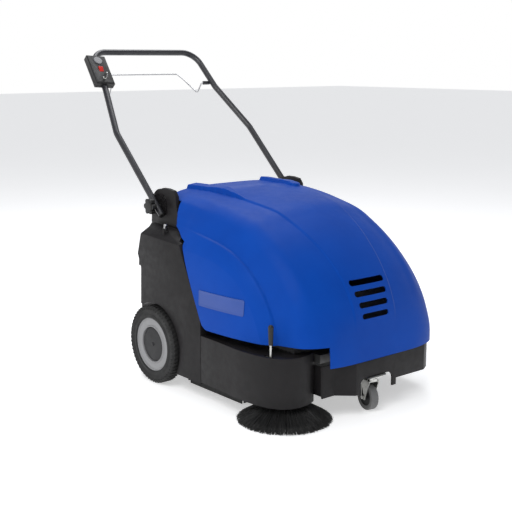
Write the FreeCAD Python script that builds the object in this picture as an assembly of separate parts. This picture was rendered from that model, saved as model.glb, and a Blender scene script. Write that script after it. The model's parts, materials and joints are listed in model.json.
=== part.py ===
"""Walk behind sweeper, 28 inch class.  One STEP per sub-part, millimetres, +Z up.

Origin: on the floor, on the machine's centre plane, straight below the rear axle.
The machine drives towards -Y; its right side, with the side brush, is -X.
"""
import FreeCAD, Part
import math
import os

V = FreeCAD.Vector
os.makedirs("parts", exist_ok=True)

# ---------------------------------------------------------------- driving dimensions
WHEEL_R = 150.0                       # rear tyre radius; the axle height follows
AXLE_Z = WHEEL_R
WHEEL_OUT = 416.0                     # outer face of the rear tyres, each side
TYRE_W = 50.0
RIM_R = 103.0
CAP_R = 66.0
SHAFT_R = 10.0                        # half shafts and broom shaft
RUN = 0.05                            # radial running clearance

PANEL_X = 398.0                       # outer face of the side panels
PANEL_IN = 334.0                      # open inner edge of the side panels
PANEL_T = 4.0
ARCH_R = 160.0                        # wheel arch, about the axle
PLATE_IN = 314.0                      # inner face of the steel side plates
PLATE_T = 3.0
BRACKET_IN, BRACKET_OUT = 305.0, 321.0

HOOD_HALF_RIGHT = 403.0               # widest half width towards -X
HOOD_HALF_LEFT = 408.0                # widest half width towards +X
HOOD_NOSE = -783.0                    # front of the hood
HOOD_REAR = 46.0
HOOD_LOW = 199.0                      # lower edge over the front body
HOOD_STEP = 272.0                     # lower edge over the side brush housing
HOOD_T = 4.0
HOOD_TOP = [(46, 733), (-40, 732), (-120, 729), (-220, 720), (-310, 706), (-411, 685), (-475, 657),
            (-542, 620), (-603, 577), (-665, 520), (-714, 458), (-742, 405), (-762, 352), (-773, 285),
            (-779, 235)]               # top line on the centre plane: y, z
HINGE_Y, HINGE_Z = 30.0, 700.0
PIN_R = 5.0

PIVOT_Y, PIVOT_Z = 62.0, 668.0        # handle pivot
TUBE_R = 12.5
TUBE_T = 2.0
CLAMP_GAP = 0.3                       # radial gap between the control case and the tube
ARM_X = 338.0                         # tube centre line at the pivots
TUBE_ROUTE = [(338, 28, 636), (338, 331, 925), (281, 501, 1094), (263, 635, 1241)]
BAIL_R = 3.0
BAIL_Y, BAIL_Z = 533.0, 1110.0        # bail pivot, in a lug under each arm
LUG_R = 8.0

BROOM_Y, BROOM_Z, BROOM_R = -250.0, 136.0, 135.0
BROOM_HALF = 254.0                    # half length of the main broom
CORE_R = 45.0
MOTOR_Y, MOTOR_Z = -330.0, 336.0      # broom motor axis
PULLEY_R, PINION_R = 48.0, 24.0
BELT_X0, BELT_X1 = 320.5, 330.5

BRUSH_X, BRUSH_Y = -284.0, -618.0     # side brush axis
BRUSH_R = 170.0
ARM_PIVOT_Y, ARM_PIVOT_Z = -452.0, 150.0
LEVER_X, LEVER_Y, LEVER_Z = -373.0, -648.0, 205.0

CASTER_Y, CASTER_R = -756.0, 48.0
CASTER_TRAIL = 22.0
CASTER_YAW = 12.0                     # degrees, the fork's rest heading
CASTER_PLATE_Z = 131.0                # top of the caster's own plate

LATCH_X, LATCH_Y, LATCH_Z = -365.0, -34.0, 591.0

HOPPER_X, HOPPER_Y0, HOPPER_Y1 = 298.0, -90.0, 250.0
HOPPER_Z0, HOPPER_Z1 = 223.0, 398.0


# ---------------------------------------------------------------- helpers
def box(x0, x1, y0, y1, z0, z1):
    return Part.makeBox(x1 - x0, y1 - y0, z1 - z0, V(x0, y0, z0))


def cyl_x(x0, x1, y, z, r):
    return Part.makeCylinder(r, x1 - x0, V(x0, y, z), V(1, 0, 0))


def cyl_y(y0, y1, x, z, r):
    return Part.makeCylinder(r, y1 - y0, V(x, y0, z), V(0, 1, 0))


def cyl_z(z0, z1, x, y, r):
    return Part.makeCylinder(r, z1 - z0, V(x, y, z0), V(0, 0, 1))


def ring_x(x0, x1, y, z, r_out, r_in):
    return cyl_x(x0, x1, y, z, r_out).cut(cyl_x(x0 - 1, x1 + 1, y, z, r_in))


def fuse(solids):
    whole = solids[0].multiFuse(solids[1:]) if len(solids) > 1 else solids[0]
    return whole.removeSplitter()


def prism_x(yz, x0, x1):
    """Outline in the YZ plane, extruded from x0 to x1."""
    wire = Part.makePolygon([V(x0, y, z) for y, z in yz + yz[:1]])
    return Part.Face(wire).extrude(V(x1 - x0, 0, 0))


def prism_z(xy, z0, z1):
    """Outline in plan, extruded from z0 to z1."""
    wire = Part.makePolygon([V(x, y, z0) for x, y in xy + xy[:1]])
    return Part.Face(wire).extrude(V(0, 0, z1 - z0))


def inset(points, by):
    """The polygon moved inwards by a wall thickness, corner by corner."""
    area = sum(a[0] * b[1] - b[0] * a[1] for a, b in zip(points, points[1:] + points[:1]))
    turn = 1 if area > 0 else -1
    moved = []
    for i, (x, y) in enumerate(points):
        before, after = points[i - 1], points[(i + 1) % len(points)]
        into = V(x - before[0], y - before[1], 0).normalize()
        out = V(after[0] - x, after[1] - y, 0).normalize()
        inward = V(-(into.y + out.y), into.x + out.x, 0) * turn
        inward.normalize()
        reach = by / max(0.35, abs(inward.dot(V(-out.y, out.x, 0))))
        moved.append((x + inward.x * reach, y + inward.y * reach))
    return moved


def mirror_x(shape):
    return shape.mirror(V(0, 0, 0), V(1, 0, 0))


def rounded_path(points, radii):
    """Straight runs joined by tangent arcs; radii has one entry per inner point."""
    points = [V(*p) for p in points]
    edges, start = [], points[0]
    for i, radius in enumerate(radii, start=1):
        into = (points[i] - points[i - 1]).normalize()
        out = (points[i + 1] - points[i]).normalize()
        turn = into.getAngle(out)
        if turn < 1e-4:
            continue
        reach = radius * math.tan(turn / 2)
        first, last = points[i] - into * reach, points[i] + out * reach
        bisector = (out - into).normalize()
        middle = points[i] + bisector * (radius / math.cos(turn / 2) - radius)
        edges.append(Part.makeLine(start, first))
        edges.append(Part.Arc(first, middle, last).toShape())
        start = last
    edges.append(Part.makeLine(start, points[-1]))
    return Part.Wire(edges)


def rod(path, r):
    """A round bar along a wire."""
    first = path.OrderedEdges[0]
    tangent = first.tangentAt(first.FirstParameter)
    circle = Part.Wire(Part.makeCircle(r, path.OrderedVertexes[0].Point, tangent))
    return path.makePipeShell([circle], True, True)


def save(name, shape):
    if isinstance(shape, list):
        shape = Part.makeCompound(shape)
    shape.exportStep("parts/%s.step" % name)
    print("%-24s solids %d  volume %.1f cm3  valid %s" % (
        name, len(shape.Solids), shape.Volume / 1000, shape.isValid()))


# ---------------------------------------------------------------- steel frame
def side_plate(side):
    """Right side plate when side is -1, left when +1; both carry axle, broom and brackets."""
    outline = [(-440, 75), (-440, 330), (-385, 470), (-160, 560), (-110, 600), (80, 600), (112, 540),
               (112, 412), (80, 408), (80, 216), (45, 110), (-40, 75)]
    x0 = side * PLATE_IN if side > 0 else -PLATE_IN - PLATE_T
    plate = prism_x(outline, x0, x0 + PLATE_T)
    for y, z, r in ((0, AXLE_Z, 18.3), (BROOM_Y, BROOM_Z, 24.0), (MOTOR_Y, MOTOR_Z, 30.0)):
        plate = plate.cut(cyl_x(x0 - 1, x0 + PLATE_T + 1, y, z, r))
    # runner that the hopper slides on, welded to the inside of the plate
    run_x = (288.0, PLATE_IN) if side > 0 else (-PLATE_IN, -288.0)
    return fuse([plate, box(run_x[0], run_x[1], -88, 78, HOPPER_Z0 - 9, HOPPER_Z0 - 0.5)])


def base_frame():
    """Welded tube frame ahead of the side plates, with battery tray and caster bridge."""
    pieces = []
    for side in (-1, 1):
        x0, x1 = sorted((side * 232, side * 262))
        pieces.append(box(x0, x1, -676, -401, 206, 236))
        x0, x1 = sorted((side * 26, side * 44))
        pieces.append(box(x0, x1, -722, -702, CASTER_PLATE_Z + 5, 206))
    pieces.append(box(-216, 262, -720, -650, 206, 236))
    pieces.append(box(-44, 44, -782, -702, CASTER_PLATE_Z, CASTER_PLATE_Z + 5))
    pieces.append(box(-PLATE_IN, PLATE_IN, -431, -401, 206, 236))
    pieces.append(box(-283, 283, -664, -446, 236, 262).cut(box(-280, 280, -661, -449, 239, 270)))
    # cross plate ahead of the broom, with two lugs for the brush arm's pin
    pieces.append(box(-PLATE_IN, PLATE_IN, -431, -427, 92, 206))
    for x0 in (-PLATE_IN, -256):
        pieces.append(box(x0, x0 + 6, ARM_PIVOT_Y - 10, -427, ARM_PIVOT_Z - 12, ARM_PIVOT_Z + 12))
    front = fuse(pieces).cut(cyl_x(-330, -240, ARM_PIVOT_Y, ARM_PIVOT_Z, PIN_R))
    return [front, box(-PLATE_IN, PLATE_IN, -104, -92, 96, 136)]


def bracket(side):
    """Cast handle bracket: a rounded head about the pivot on a raked foot."""
    head = cyl_x(BRACKET_IN, BRACKET_OUT, PIVOT_Y - 8, PIVOT_Z + 2, 62)
    body = prism_x([(-84, 560), (-73, 594), (-52, 647), (-42, 685), (-39, 712), (-24, 731), (12, 736), (44, 736),
                    (116, 672), (122, 600), (100, 560)], BRACKET_IN, BRACKET_OUT)
    plate = fuse([head, body])
    # toothed face that locks the arm: a disc with twelve radial ribs
    disc = cyl_x(BRACKET_OUT, BRACKET_OUT + 2.5, PIVOT_Y, PIVOT_Z, 36)
    ribs = []
    for i in range(12):
        rib = box(BRACKET_OUT + 2.5, BRACKET_OUT + 4, PIVOT_Y - 2, PIVOT_Y + 2, PIVOT_Z + 20, PIVOT_Z + 34)
        rib.rotate(V(0, PIVOT_Y, PIVOT_Z), V(1, 0, 0), i * 30)
        ribs.append(rib)
    plate = fuse([plate, disc] + ribs)
    # slot in the foot for the top of the steel side plate
    plate = plate.cut(box(PLATE_IN, PLATE_IN + PLATE_T, -130, 130, 540, 600))
    plate = plate.cut(cyl_x(BRACKET_IN - 1, BRACKET_OUT + 9, PIVOT_Y, PIVOT_Z, PIN_R))
    plate = plate.cut(cyl_x(BRACKET_IN - 1, BRACKET_OUT + 1, HINGE_Y, HINGE_Z, PIN_R))
    return plate if side > 0 else mirror_x(plate)


def pivot_pins():
    """Pins held in the frame: handle bolts, hood hinge pins, the brush arm pin, the lever pin."""
    pins = []
    for side in (-1, 1):
        bolt = cyl_x(BRACKET_IN - 8, 374, PIVOT_Y, PIVOT_Z, PIN_R)
        bolt = fuse([bolt, cyl_x(BRACKET_IN - 8, BRACKET_IN, PIVOT_Y, PIVOT_Z, 9)])
        hinge = cyl_x(278, BRACKET_OUT, HINGE_Y, HINGE_Z, PIN_R)
        pins += [bolt, hinge] if side > 0 else [mirror_x(bolt), mirror_x(hinge)]
    pins.append(cyl_x(-PLATE_IN, -250, ARM_PIVOT_Y, ARM_PIVOT_Z, PIN_R))
    pins.append(cyl_x(LEVER_X - 11, LEVER_X + 13, LEVER_Y, LEVER_Z, 4.0))
    return pins


# ---------------------------------------------------------------- covers
PANEL_REAR = [(83, 566), (107, 485), (86, 432), (92, 292)]
PANEL_FRONT = [(-290, 64), (-290, 298), (-240, 402), (-167, 554)]
TOP_RISE = 36.0                       # the shelf climbs inwards to the bracket


def panel_outline(rise, arch_r, start_deg=62.0, end_deg=213.0, steps=27):
    """Side panel edge: rear, wheel arch about the axle, foot, front, top."""
    arch = []
    for i in range(steps + 1):
        a = math.radians(start_deg + (end_deg - start_deg) * i / steps)
        arch.append((arch_r * math.cos(a), AXLE_Z + arch_r * math.sin(a)))
    rear = [(y, z + (rise if z > 550 else 0)) for y, z in PANEL_REAR]
    front = [(y, z + (rise if z > 500 else 0)) for y, z in PANEL_FRONT]
    return rear + arch + [(-152, 64)] + front


def loft_x(outer, inner, x_outer, x_inner):
    wires = []
    for points, x in ((outer, x_outer), (inner, x_inner)):
        wires.append(Part.makePolygon([V(x, y, z) for y, z in points + points[:1]]))
    return Part.makeLoft(wires, True, True)


def side_panel(side):
    """Moulded side panel, open inwards, with a wall round its edge and round the wheel arch."""
    outer = loft_x(panel_outline(0, ARCH_R), panel_outline(TOP_RISE, ARCH_R), PANEL_X, PANEL_IN)
    skin_outline = inset(panel_outline(0, ARCH_R), PANEL_T)
    room_outline = inset(panel_outline(TOP_RISE, ARCH_R), PANEL_T)
    if len(skin_outline) == len(room_outline):
        room = loft_x(skin_outline, room_outline, PANEL_X - PANEL_T, PANEL_IN - 1)
    else:
        room = prism_x(skin_outline, PANEL_IN - 1, PANEL_X - PANEL_T)
    panel = outer.cut(room)
    # the top's inner front corner makes way for the hood's flank
    corner = prism_x([(-300, 545), (-168, 545), (-146, 564), (-118, 588), (-86, 610), (-86, 640), (-300, 640)],
                     320, PANEL_X - 15)
    panel = panel.cut(corner)
    return panel if side > 0 else fuse([mirror_x(panel), latch_seat()])


def latch_seat():
    """Two ears and a pin on the right shelf, for the latch."""
    ears = [box(x, x + 3, LATCH_Y - 6, LATCH_Y + 6, LATCH_Z - 20, LATCH_Z + 5) for x in (LATCH_X - 9, LATCH_X + 6)]
    return fuse(ears + [cyl_x(LATCH_X - 8, LATCH_X + 8, LATCH_Y, LATCH_Z, 2.5)])


def front_body():
    """Lower front body: caster bay with chamfered cheeks, set-back faces, left corner and side."""
    wall = 5.0
    outer = [(-212, -728), (-155, -728), (-100, -778), (100, -778), (155, -728), (306, -728),
             (345, -706), (368, -660), (384, -560), (391, -430), (393, -294)]
    back = [(outer[-1][0] - wall, -294)]
    path = [V(x, y, 0) for x, y in outer]
    edge = Part.makePolygon(path)
    inner_pts = []
    for i, p in enumerate(path):
        a = path[max(i - 1, 0)]
        b = path[min(i + 1, len(path) - 1)]
        along = (b - a).normalize()
        inner_pts.append((p.x - along.y * wall, p.y + along.x * wall))
    ring = outer + back + [q for q in reversed(inner_pts[:-1])]
    wall_solid = prism_z(ring, 83, 196)
    # roof of the caster bay, tied to the cheeks
    roof = prism_z([(-154, -725), (-99, -775), (99, -775), (154, -725), (154, -700), (-154, -700)], 138, 142)
    # return wall beside the side brush
    cheek = box(-217, -212, -727, -655, 92, 196)
    body = fuse([wall_solid, roof, cheek])
    for x in (-35, 35):
        body = body.cut(box(x - 10, x + 10, -724, -690, 130, 143))
    arch = box(-79, 79, -790, -760, 70, 112)
    arch = arch.fuse(Part.makeCylinder(25, 30, V(-54, -790, 112), V(0, 1, 0)))
    arch = arch.fuse(Part.makeCylinder(25, 30, V(54, -790, 112), V(0, 1, 0)))
    arch = arch.fuse(box(-54, 54, -790, -760, 100, 137))
    return body.cut(arch.removeSplitter())


HOUSING_PLAN = [(-398, -292), (-399, -380), (-404, -450), (-407, -500), (-406, -550), (-399, -610),
                (-388, -652), (-366, -689), (-338, -709), (-300, -718), (-258, -712), (-222, -697)]


def brush_housing():
    """D-shaped cover over the side brush drive, open below and towards the machine."""
    inner_edge = [(-222, -682), (-290, -682), (-290, -446), (-322, -446), (-322, -292)]
    shell = prism_z(HOUSING_PLAN + inner_edge, 70, 244)
    room = prism_z(inset(HOUSING_PLAN + inner_edge, 4.0), 60, 240)
    shell = shell.cut(room)
    # the inner side is open to the machine
    shell = shell.cut(box(-320, -200, -690, -296, 60, 240))
    shell = shell.cut(box(LEVER_X - 6, LEVER_X + 6, LEVER_Y - 7, LEVER_Y + 30, 230, 250))
    # one cheek and one boss hold the lever's pin
    cheek = box(LEVER_X + 8, LEVER_X + 13, LEVER_Y - 14, LEVER_Y + 14, 190, 240)
    boss = cyl_x(LEVER_X - 11, LEVER_X - 6, LEVER_Y, LEVER_Z, 8)
    shell = fuse([shell, cheek, boss])
    return shell.cut(cyl_x(LEVER_X - 11, LEVER_X + 13, LEVER_Y, LEVER_Z, 4.0))


def hood_half_width(y, half):
    reach = max(0.0, min(1.0, y / HOOD_NOSE))
    power = 4.0 if half == HOOD_HALF_RIGHT else 5.2
    return half * (1 - reach ** power) ** (1 / power)


def hood_section(y, top, thin, low):
    """Arched section across the hood at y; thin shrinks it for the inner face."""
    reach = max(0.0, y / HOOD_NOSE)
    flat, square = 3.6 - 0.8 * reach, 6.5 - 3.7 * reach
    points, count = [], 12
    for i in range(2 * count + 1):
        a = math.pi * i / (2 * count)
        half = HOOD_HALF_LEFT if a < math.pi / 2 else HOOD_HALF_RIGHT
        width = hood_half_width(y, half) - thin
        c, s = math.cos(a), math.sin(a)
        x = math.copysign(width * abs(c) ** (2 / flat), c)
        points.append(V(x, y, low + (top - thin - low) * abs(s) ** (2 / square)))
    arch = Part.BSplineCurve()
    arch.interpolate(points)
    return Part.Wire([arch.toShape(), Part.makeLine(points[-1], points[0])])


def hood_solid(thin, low):
    wires = [hood_section(y + (thin if y < -700 else 0), z, thin, low) for y, z in HOOD_TOP]
    return Part.makeLoft(wires, True, False)


def hood():
    """One-piece hood: arched shell, open below, hinged between the handle brackets."""
    shell = hood_solid(0.0, HOOD_LOW - 12)
    shell = shell.cut(hood_solid(HOOD_T, HOOD_LOW - 30))
    shell = shell.cut(box(-500, 500, -900, 200, 0, HOOD_LOW))
    shell = shell.cut(box(-500, -212, -900, 200, 0, HOOD_STEP))
    # the panels' and brackets' share of each side, with an even gap
    behind = [(-8, 760), (-48, 700), (-62, 655), (-92, 612), (-124, 594), (-150, 578), (-174, 569),
              (-174, 554), (-246, 402), (-296, 298), (-296, 150), (300, 150), (300, 760)]
    for x0, x1 in ((-500, -300), (300, 500)):
        shell = shell.cut(prism_x(behind, x0, x1))
    shell = shell.cut(box(-310, 310, HOOD_REAR - 0.5, 200, 0, 800))
    # cooling slots on the nose
    for z, half in ((464, 82), (427, 76), (389, 70), (351, 63)):
        slot = box(-half + 8, half - 8, -800, -600, z - 9, z + 9)
        for end in (-half + 9, half - 9):
            slot = slot.fuse(cyl_y(-800, -600, end, z, 9))
        shell = shell.cut(slot)
    # hinge ears inside the rear edge
    ears = []
    for side in (-1, 1):
        x0, x1 = sorted((side * 284, side * 298))
        ear = fuse([box(x0, x1, HINGE_Y - 14, HINGE_Y + 10, HINGE_Z, 726),
                    cyl_x(x0, x1, HINGE_Y, HINGE_Z, 12)])
        ears.append(ear)
    shell = fuse([shell] + ears)
    return shell.cut(cyl_x(-330, 330, HINGE_Y, HINGE_Z, PIN_R + RUN))


def rear_cover():
    """Cover over filter and fan, between the brackets, down to the hopper."""
    outline = [(249, 404), (243, 468), (196, 545), (120, 618), (80, 660), (76, 704), (72, 704), (72, 656),
               (-50, 652), (-50, 648), (74, 648), (116, 613), (191, 541), (237, 466), (243, 404)]
    sheet = prism_x(outline, -303, 303)
    cheeks = []
    for x0, x1 in ((-303, -299), (299, 303)):
        cheek = prism_x([(247, 404), (241, 468), (195, 543), (118, 616), (80, 652), (60, 652), (60, 604),
                         (116, 604), (116, 404)], x0, x1)
        cheeks.append(cheek)
    return fuse([sheet] + cheeks)


# ---------------------------------------------------------------- drive and wheels
def transaxle_case():
    """Gear case round the axle, with a tube to each side plate."""
    case = cyl_x(-70, 70, 0, AXLE_Z, 56)
    tubes = cyl_x(-PLATE_IN - PLATE_T, PLATE_IN + PLATE_T, 0, AXLE_Z, 18)
    case = fuse([case, tubes, box(-70, -10, 0, 96, 112, 188)])
    case = case.cut(cyl_x(-400, 400, 0, AXLE_Z, SHAFT_R + RUN))
    return case.cut(cyl_x(-40, 40, 0, AXLE_Z, 30))


def half_shaft(side):
    shaft = cyl_x(30, WHEEL_OUT - 20, 0, AXLE_Z, SHAFT_R)
    collar = ring_x(PLATE_IN + PLATE_T + 1, PLATE_IN + PLATE_T + 9, 0, AXLE_Z, 16, SHAFT_R)
    shaft = fuse([shaft, collar])
    return shaft if side > 0 else mirror_x(shaft)


def tyre(side):
    """Solid rubber tyre: rounded shoulders and cross bars round the tread."""
    x0, x1 = WHEEL_OUT - TYRE_W, WHEEL_OUT
    body = ring_x(x0, x1, 0, AXLE_Z, WHEEL_R - 3, RIM_R)
    rims = [e for e in body.Edges if abs(e.Length - 2 * math.pi * (WHEEL_R - 3)) < 1]
    body = body.makeFillet(9, rims)
    bars = []
    for i in range(40):
        bar = box(x0 + 6, x1 - 6, -5.5, 5.5, AXLE_Z + WHEEL_R - 8, AXLE_Z + WHEEL_R)
        bar.rotate(V(0, 0, AXLE_Z), V(1, 0, 0), i * 9)
        bars.append(bar)
    crown = ring_x(x0 + 6, x1 - 6, 0, AXLE_Z, WHEEL_R, WHEEL_R - 12)
    bars = Part.makeCompound(bars).common(crown)
    body = fuse([body] + bars.Solids)
    return body if side > 0 else mirror_x(body)


def rim(side):
    """Grey wheel centre: dished face, hub barrel and bore."""
    x1 = WHEEL_OUT - 4
    disc = ring_x(x1 - 40, x1, 0, AXLE_Z, RIM_R, 84)
    web = ring_x(x1 - 24, x1 - 8, 0, AXLE_Z, 92, SHAFT_R)
    hub = ring_x(x1 - 44, x1 - 18, 0, AXLE_Z, 26, SHAFT_R)
    face = ring_x(x1 - 9, x1, 0, AXLE_Z, 90, CAP_R + 0.6)
    wheel = fuse([disc, web, hub, face])
    return wheel if side > 0 else mirror_x(wheel)


def hub_cap(side):
    """Recessed dark cap with a raised centre boss."""
    x1 = WHEEL_OUT - 7
    cap = cyl_x(x1 - 5, x1, 0, AXLE_Z, CAP_R)
    cap = cap.makeChamfer(2.0, [e for e in cap.Edges if abs(e.CenterOfMass.x - x1) < 0.1])
    cap = fuse([cap, cyl_x(x1 - 1, x1 + 2, 0, AXLE_Z, 9)])
    return cap if side > 0 else mirror_x(cap)


def traction_motor():
    motor = fuse([cyl_x(-10, 150, 62, AXLE_Z, 42), cyl_x(150, 158, 62, AXLE_Z, 30)])
    return motor.cut(cyl_x(-80, 71, 0, AXLE_Z, 56.2)).cut(cyl_x(60, 400, 0, AXLE_Z, 18.2))


# ---------------------------------------------------------------- main broom
def broom_core():
    core = cyl_x(-BROOM_HALF, BROOM_HALF, BROOM_Y, BROOM_Z, CORE_R)
    shaft = cyl_x(-PLATE_IN - 6, BELT_X1 + 4, BROOM_Y, BROOM_Z, SHAFT_R)
    return fuse([core, shaft])


def broom_bristles():
    """Ten bristle rows round the core, each a slab of packed filament."""
    rows = []
    for i in range(10):
        row = box(-BROOM_HALF, BROOM_HALF, BROOM_Y - 9, BROOM_Y + 9, BROOM_Z + 20, BROOM_Z + BROOM_R + 2)
        row.rotate(V(0, BROOM_Y, BROOM_Z), V(1, 0, 0), 18 + i * 36)
        row = row.common(ring_x(-BROOM_HALF, BROOM_HALF, BROOM_Y, BROOM_Z, BROOM_R, CORE_R))
        rows.append(row)
    return rows


def broom_bearings():
    rings = []
    for x0 in (-PLATE_IN - PLATE_T - 1, PLATE_IN - 10):
        ring = ring_x(x0, x0 + 14, BROOM_Y, BROOM_Z, 24.0, SHAFT_R + RUN)
        rings.append(ring)
    return rings


def broom_shroud():
    """Curved sheet over the front and top of the broom, open towards the hopper."""
    r_out, r_in = 150.0, 147.0
    points_out, points_in = [], []
    for i in range(17):
        a = math.radians(58 + (178 - 58) * i / 16)
        points_out.append((BROOM_Y + r_out * math.cos(a), BROOM_Z + r_out * math.sin(a)))
        points_in.append((BROOM_Y + r_in * math.cos(a), BROOM_Z + r_in * math.sin(a)))
    sheet = prism_x(points_out + points_in[::-1], -PLATE_IN, PLATE_IN)
    return sheet


def broom_motor():
    """Motor on the left side plate, its shaft carrying the small pulley."""
    body = cyl_x(140, PLATE_IN, MOTOR_Y, MOTOR_Z, 44)
    cap = cyl_x(128, 140, MOTOR_Y, MOTOR_Z, 34)
    return fuse([body, cap])


def pulley(x0, x1, y, z, r, bore_r):
    body = ring_x(x0, x1, y, z, r, bore_r)
    flanges = [ring_x(x0 - 2, x0, y, z, r + 4, bore_r), ring_x(x1, x1 + 2, y, z, r + 4, bore_r)]
    return fuse([body] + flanges)


def drive_belt():
    """Flat belt round both pulleys, 3 mm thick, tangent to each."""
    dy, dz = MOTOR_Y - BROOM_Y, MOTOR_Z - BROOM_Z
    span = math.hypot(dy, dz)
    lean = math.atan2(dz, dy)
    tilt = math.acos((PULLEY_R - PINION_R) / span)

    def outline(extra):
        points = []
        for i in range(25):
            a = lean + tilt + (2 * math.pi - 2 * tilt) * i / 24
            r = PULLEY_R + extra
            points.append((BROOM_Y + r * math.cos(a), BROOM_Z + r * math.sin(a)))
        for i in range(17):
            a = lean - tilt + 2 * tilt * i / 16
            r = PINION_R + extra
            points.append((MOTOR_Y + r * math.cos(a), MOTOR_Z + r * math.sin(a)))
        return points

    belt = prism_x(outline(3.6), BELT_X0 + 1, BELT_X1 - 1)
    return belt.cut(prism_x(outline(0.6), BELT_X0, BELT_X1))


def floor_skirts():
    """Rubber strips that seal the broom chamber: two sides, front flap, rear flap."""
    sides = [box(x - 2, x + 2, -420, -110, 5, 92) for x in (-PLATE_IN + 2, PLATE_IN - 2)]
    front = box(-PLATE_IN + 6, PLATE_IN - 6, -426.5, -423, 8, 120)
    rear = box(-PLATE_IN + 6, PLATE_IN - 6, -91.5, -88, 8, 120)
    return sides + [front, rear]


# ---------------------------------------------------------------- side brush
def brush_arm():
    """Swinging arm from the pin to the motor plate, with two ears on the pin."""
    plate = fuse([cyl_z(104, 110, BRUSH_X, BRUSH_Y, 46), box(BRUSH_X - 22, BRUSH_X + 22, BRUSH_Y, -470, 104, 110)])
    ears = []
    for x0 in (BRUSH_X - 22, BRUSH_X + 14):
        ears.append(fuse([box(x0, x0 + 8, -482, ARM_PIVOT_Y + 8, 104, ARM_PIVOT_Z),
                          cyl_x(x0, x0 + 8, ARM_PIVOT_Y, ARM_PIVOT_Z, 12)]))
    arm = fuse([plate] + ears)
    arm = arm.cut(cyl_x(-340, -220, ARM_PIVOT_Y, ARM_PIVOT_Z, PIN_R + RUN))
    return arm.cut(cyl_z(90, 120, BRUSH_X, BRUSH_Y, 14))


def brush_motor():
    body = fuse([cyl_z(110, 186, BRUSH_X, BRUSH_Y, 36), cyl_z(186, 194, BRUSH_X, BRUSH_Y, 22)])
    neck = cyl_z(98, 112, BRUSH_X, BRUSH_Y, 13)
    body = fuse([body, neck])
    return body.cut(cyl_z(90, 130, BRUSH_X, BRUSH_Y, 6 + RUN))


def brush_hub():
    disc = fuse([cyl_z(74, 84, BRUSH_X, BRUSH_Y, 66), cyl_z(84, 96, BRUSH_X, BRUSH_Y, 22)])
    disc = disc.makeChamfer(3, [e for e in disc.Edges if abs(e.CenterOfMass.z - 84) < 0.1 and e.Length > 300])
    return fuse([disc, cyl_z(96, 128, BRUSH_X, BRUSH_Y, 6)])


def brush_bristles():
    """Flared ring of bristles from the disc to the floor."""
    section = [(30, 74), (50, 74), (66, 58), (94, 38), (132, 17), (BRUSH_R, 1), (BRUSH_R - 26, 1),
               (98, 13), (58, 36), (30, 58)]
    wire = Part.makePolygon([V(BRUSH_X + r, BRUSH_Y, z) for r, z in section + section[:1]])
    return Part.Face(wire).revolve(V(BRUSH_X, BRUSH_Y, 0), V(0, 0, 1), 360)


def lift_lever():
    """Steel lever with a tapered grip, on its pin inside the housing."""
    eye = cyl_x(LEVER_X - 5, LEVER_X + 5, LEVER_Y, LEVER_Z, 7)
    stem = cyl_z(LEVER_Z, 300, LEVER_X, LEVER_Y, 4)
    return fuse([eye, stem]).cut(cyl_x(-400, -350, LEVER_Y, LEVER_Z, 4.0 + RUN))


def lever_grip():
    grip = Part.makeCone(7.5, 9.5, 62, V(LEVER_X, LEVER_Y, 285), V(0, 0, 1))
    top = Part.makeSphere(9.5, V(LEVER_X, LEVER_Y, 345))
    return fuse([grip, top]).cut(cyl_z(280, 300, LEVER_X, LEVER_Y, 4.0))


# ---------------------------------------------------------------- caster
def turned(shape):
    """Rotate a caster piece, drawn straight ahead, to the fork's rest heading."""
    shape.rotate(V(0, CASTER_Y, 0), V(0, 0, 1), -CASTER_YAW)
    return shape


def caster_plate():
    plate = box(-32, 32, CASTER_Y - 24, CASTER_Y + 24, CASTER_PLATE_Z - 4, CASTER_PLATE_Z)
    stud = cyl_z(CASTER_PLATE_Z - 18, CASTER_PLATE_Z - 3, 0, CASTER_Y, 8)
    heads = [cyl_z(CASTER_PLATE_Z - 7, CASTER_PLATE_Z - 3, sx, CASTER_Y + sy, 4) for sx in (-25, 25)
             for sy in (-17, 17)]
    return fuse([plate, stud] + heads)


def caster_fork():
    """Pressed fork: crown with bore on the stud, two legs to the axle behind it."""
    wheel_y = CASTER_Y + CASTER_TRAIL
    crown = cyl_z(CASTER_PLATE_Z - 18, CASTER_PLATE_Z - 8, 0, CASTER_Y, 20)
    bridge = box(-21, 21, CASTER_Y - 16, wheel_y + 12, CASTER_PLATE_Z - 20, CASTER_PLATE_Z - 17)
    legs = []
    for x0 in (-21, 18):
        leg = prism_x([(CASTER_Y - 16, CASTER_PLATE_Z - 17), (wheel_y + 12, CASTER_PLATE_Z - 17),
                       (wheel_y + 11, CASTER_R - 8), (wheel_y - 11, CASTER_R - 8)], x0, x0 + 3)
        legs.append(leg)
    fork = fuse([crown, bridge] + legs).cut(cyl_z(90, 140, 0, CASTER_Y, 8 + RUN))
    return turned(fork.cut(cyl_x(-30, 30, wheel_y, CASTER_R, 4)))


def caster_axle():
    wheel_y = CASTER_Y + CASTER_TRAIL
    bolt = fuse([cyl_x(-25, 25, wheel_y, CASTER_R, 4), cyl_x(-26, -21, wheel_y, CASTER_R, 7),
                 cyl_x(21, 26, wheel_y, CASTER_R, 7)])
    return turned(bolt)


def caster_wheel():
    wheel_y = CASTER_Y + CASTER_TRAIL
    wheel = cyl_x(-15, 15, wheel_y, CASTER_R, CASTER_R)
    rims = [e for e in wheel.Edges if e.Length > 2 * math.pi * CASTER_R - 1 and e.Closed]
    wheel = wheel.makeFillet(5, rims)
    wheel = fuse([wheel, cyl_x(-17, 17, wheel_y, CASTER_R, 12)])
    return turned(wheel.cut(cyl_x(-30, 30, wheel_y, CASTER_R, 4 + RUN)))


# ---------------------------------------------------------------- handle
def route_both_sides(points):
    """Right-hand points, then the same points mirrored, as one U."""
    left = [(-x, y, z) for x, y, z in points]
    return left + [p for p in reversed(points)]


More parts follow.
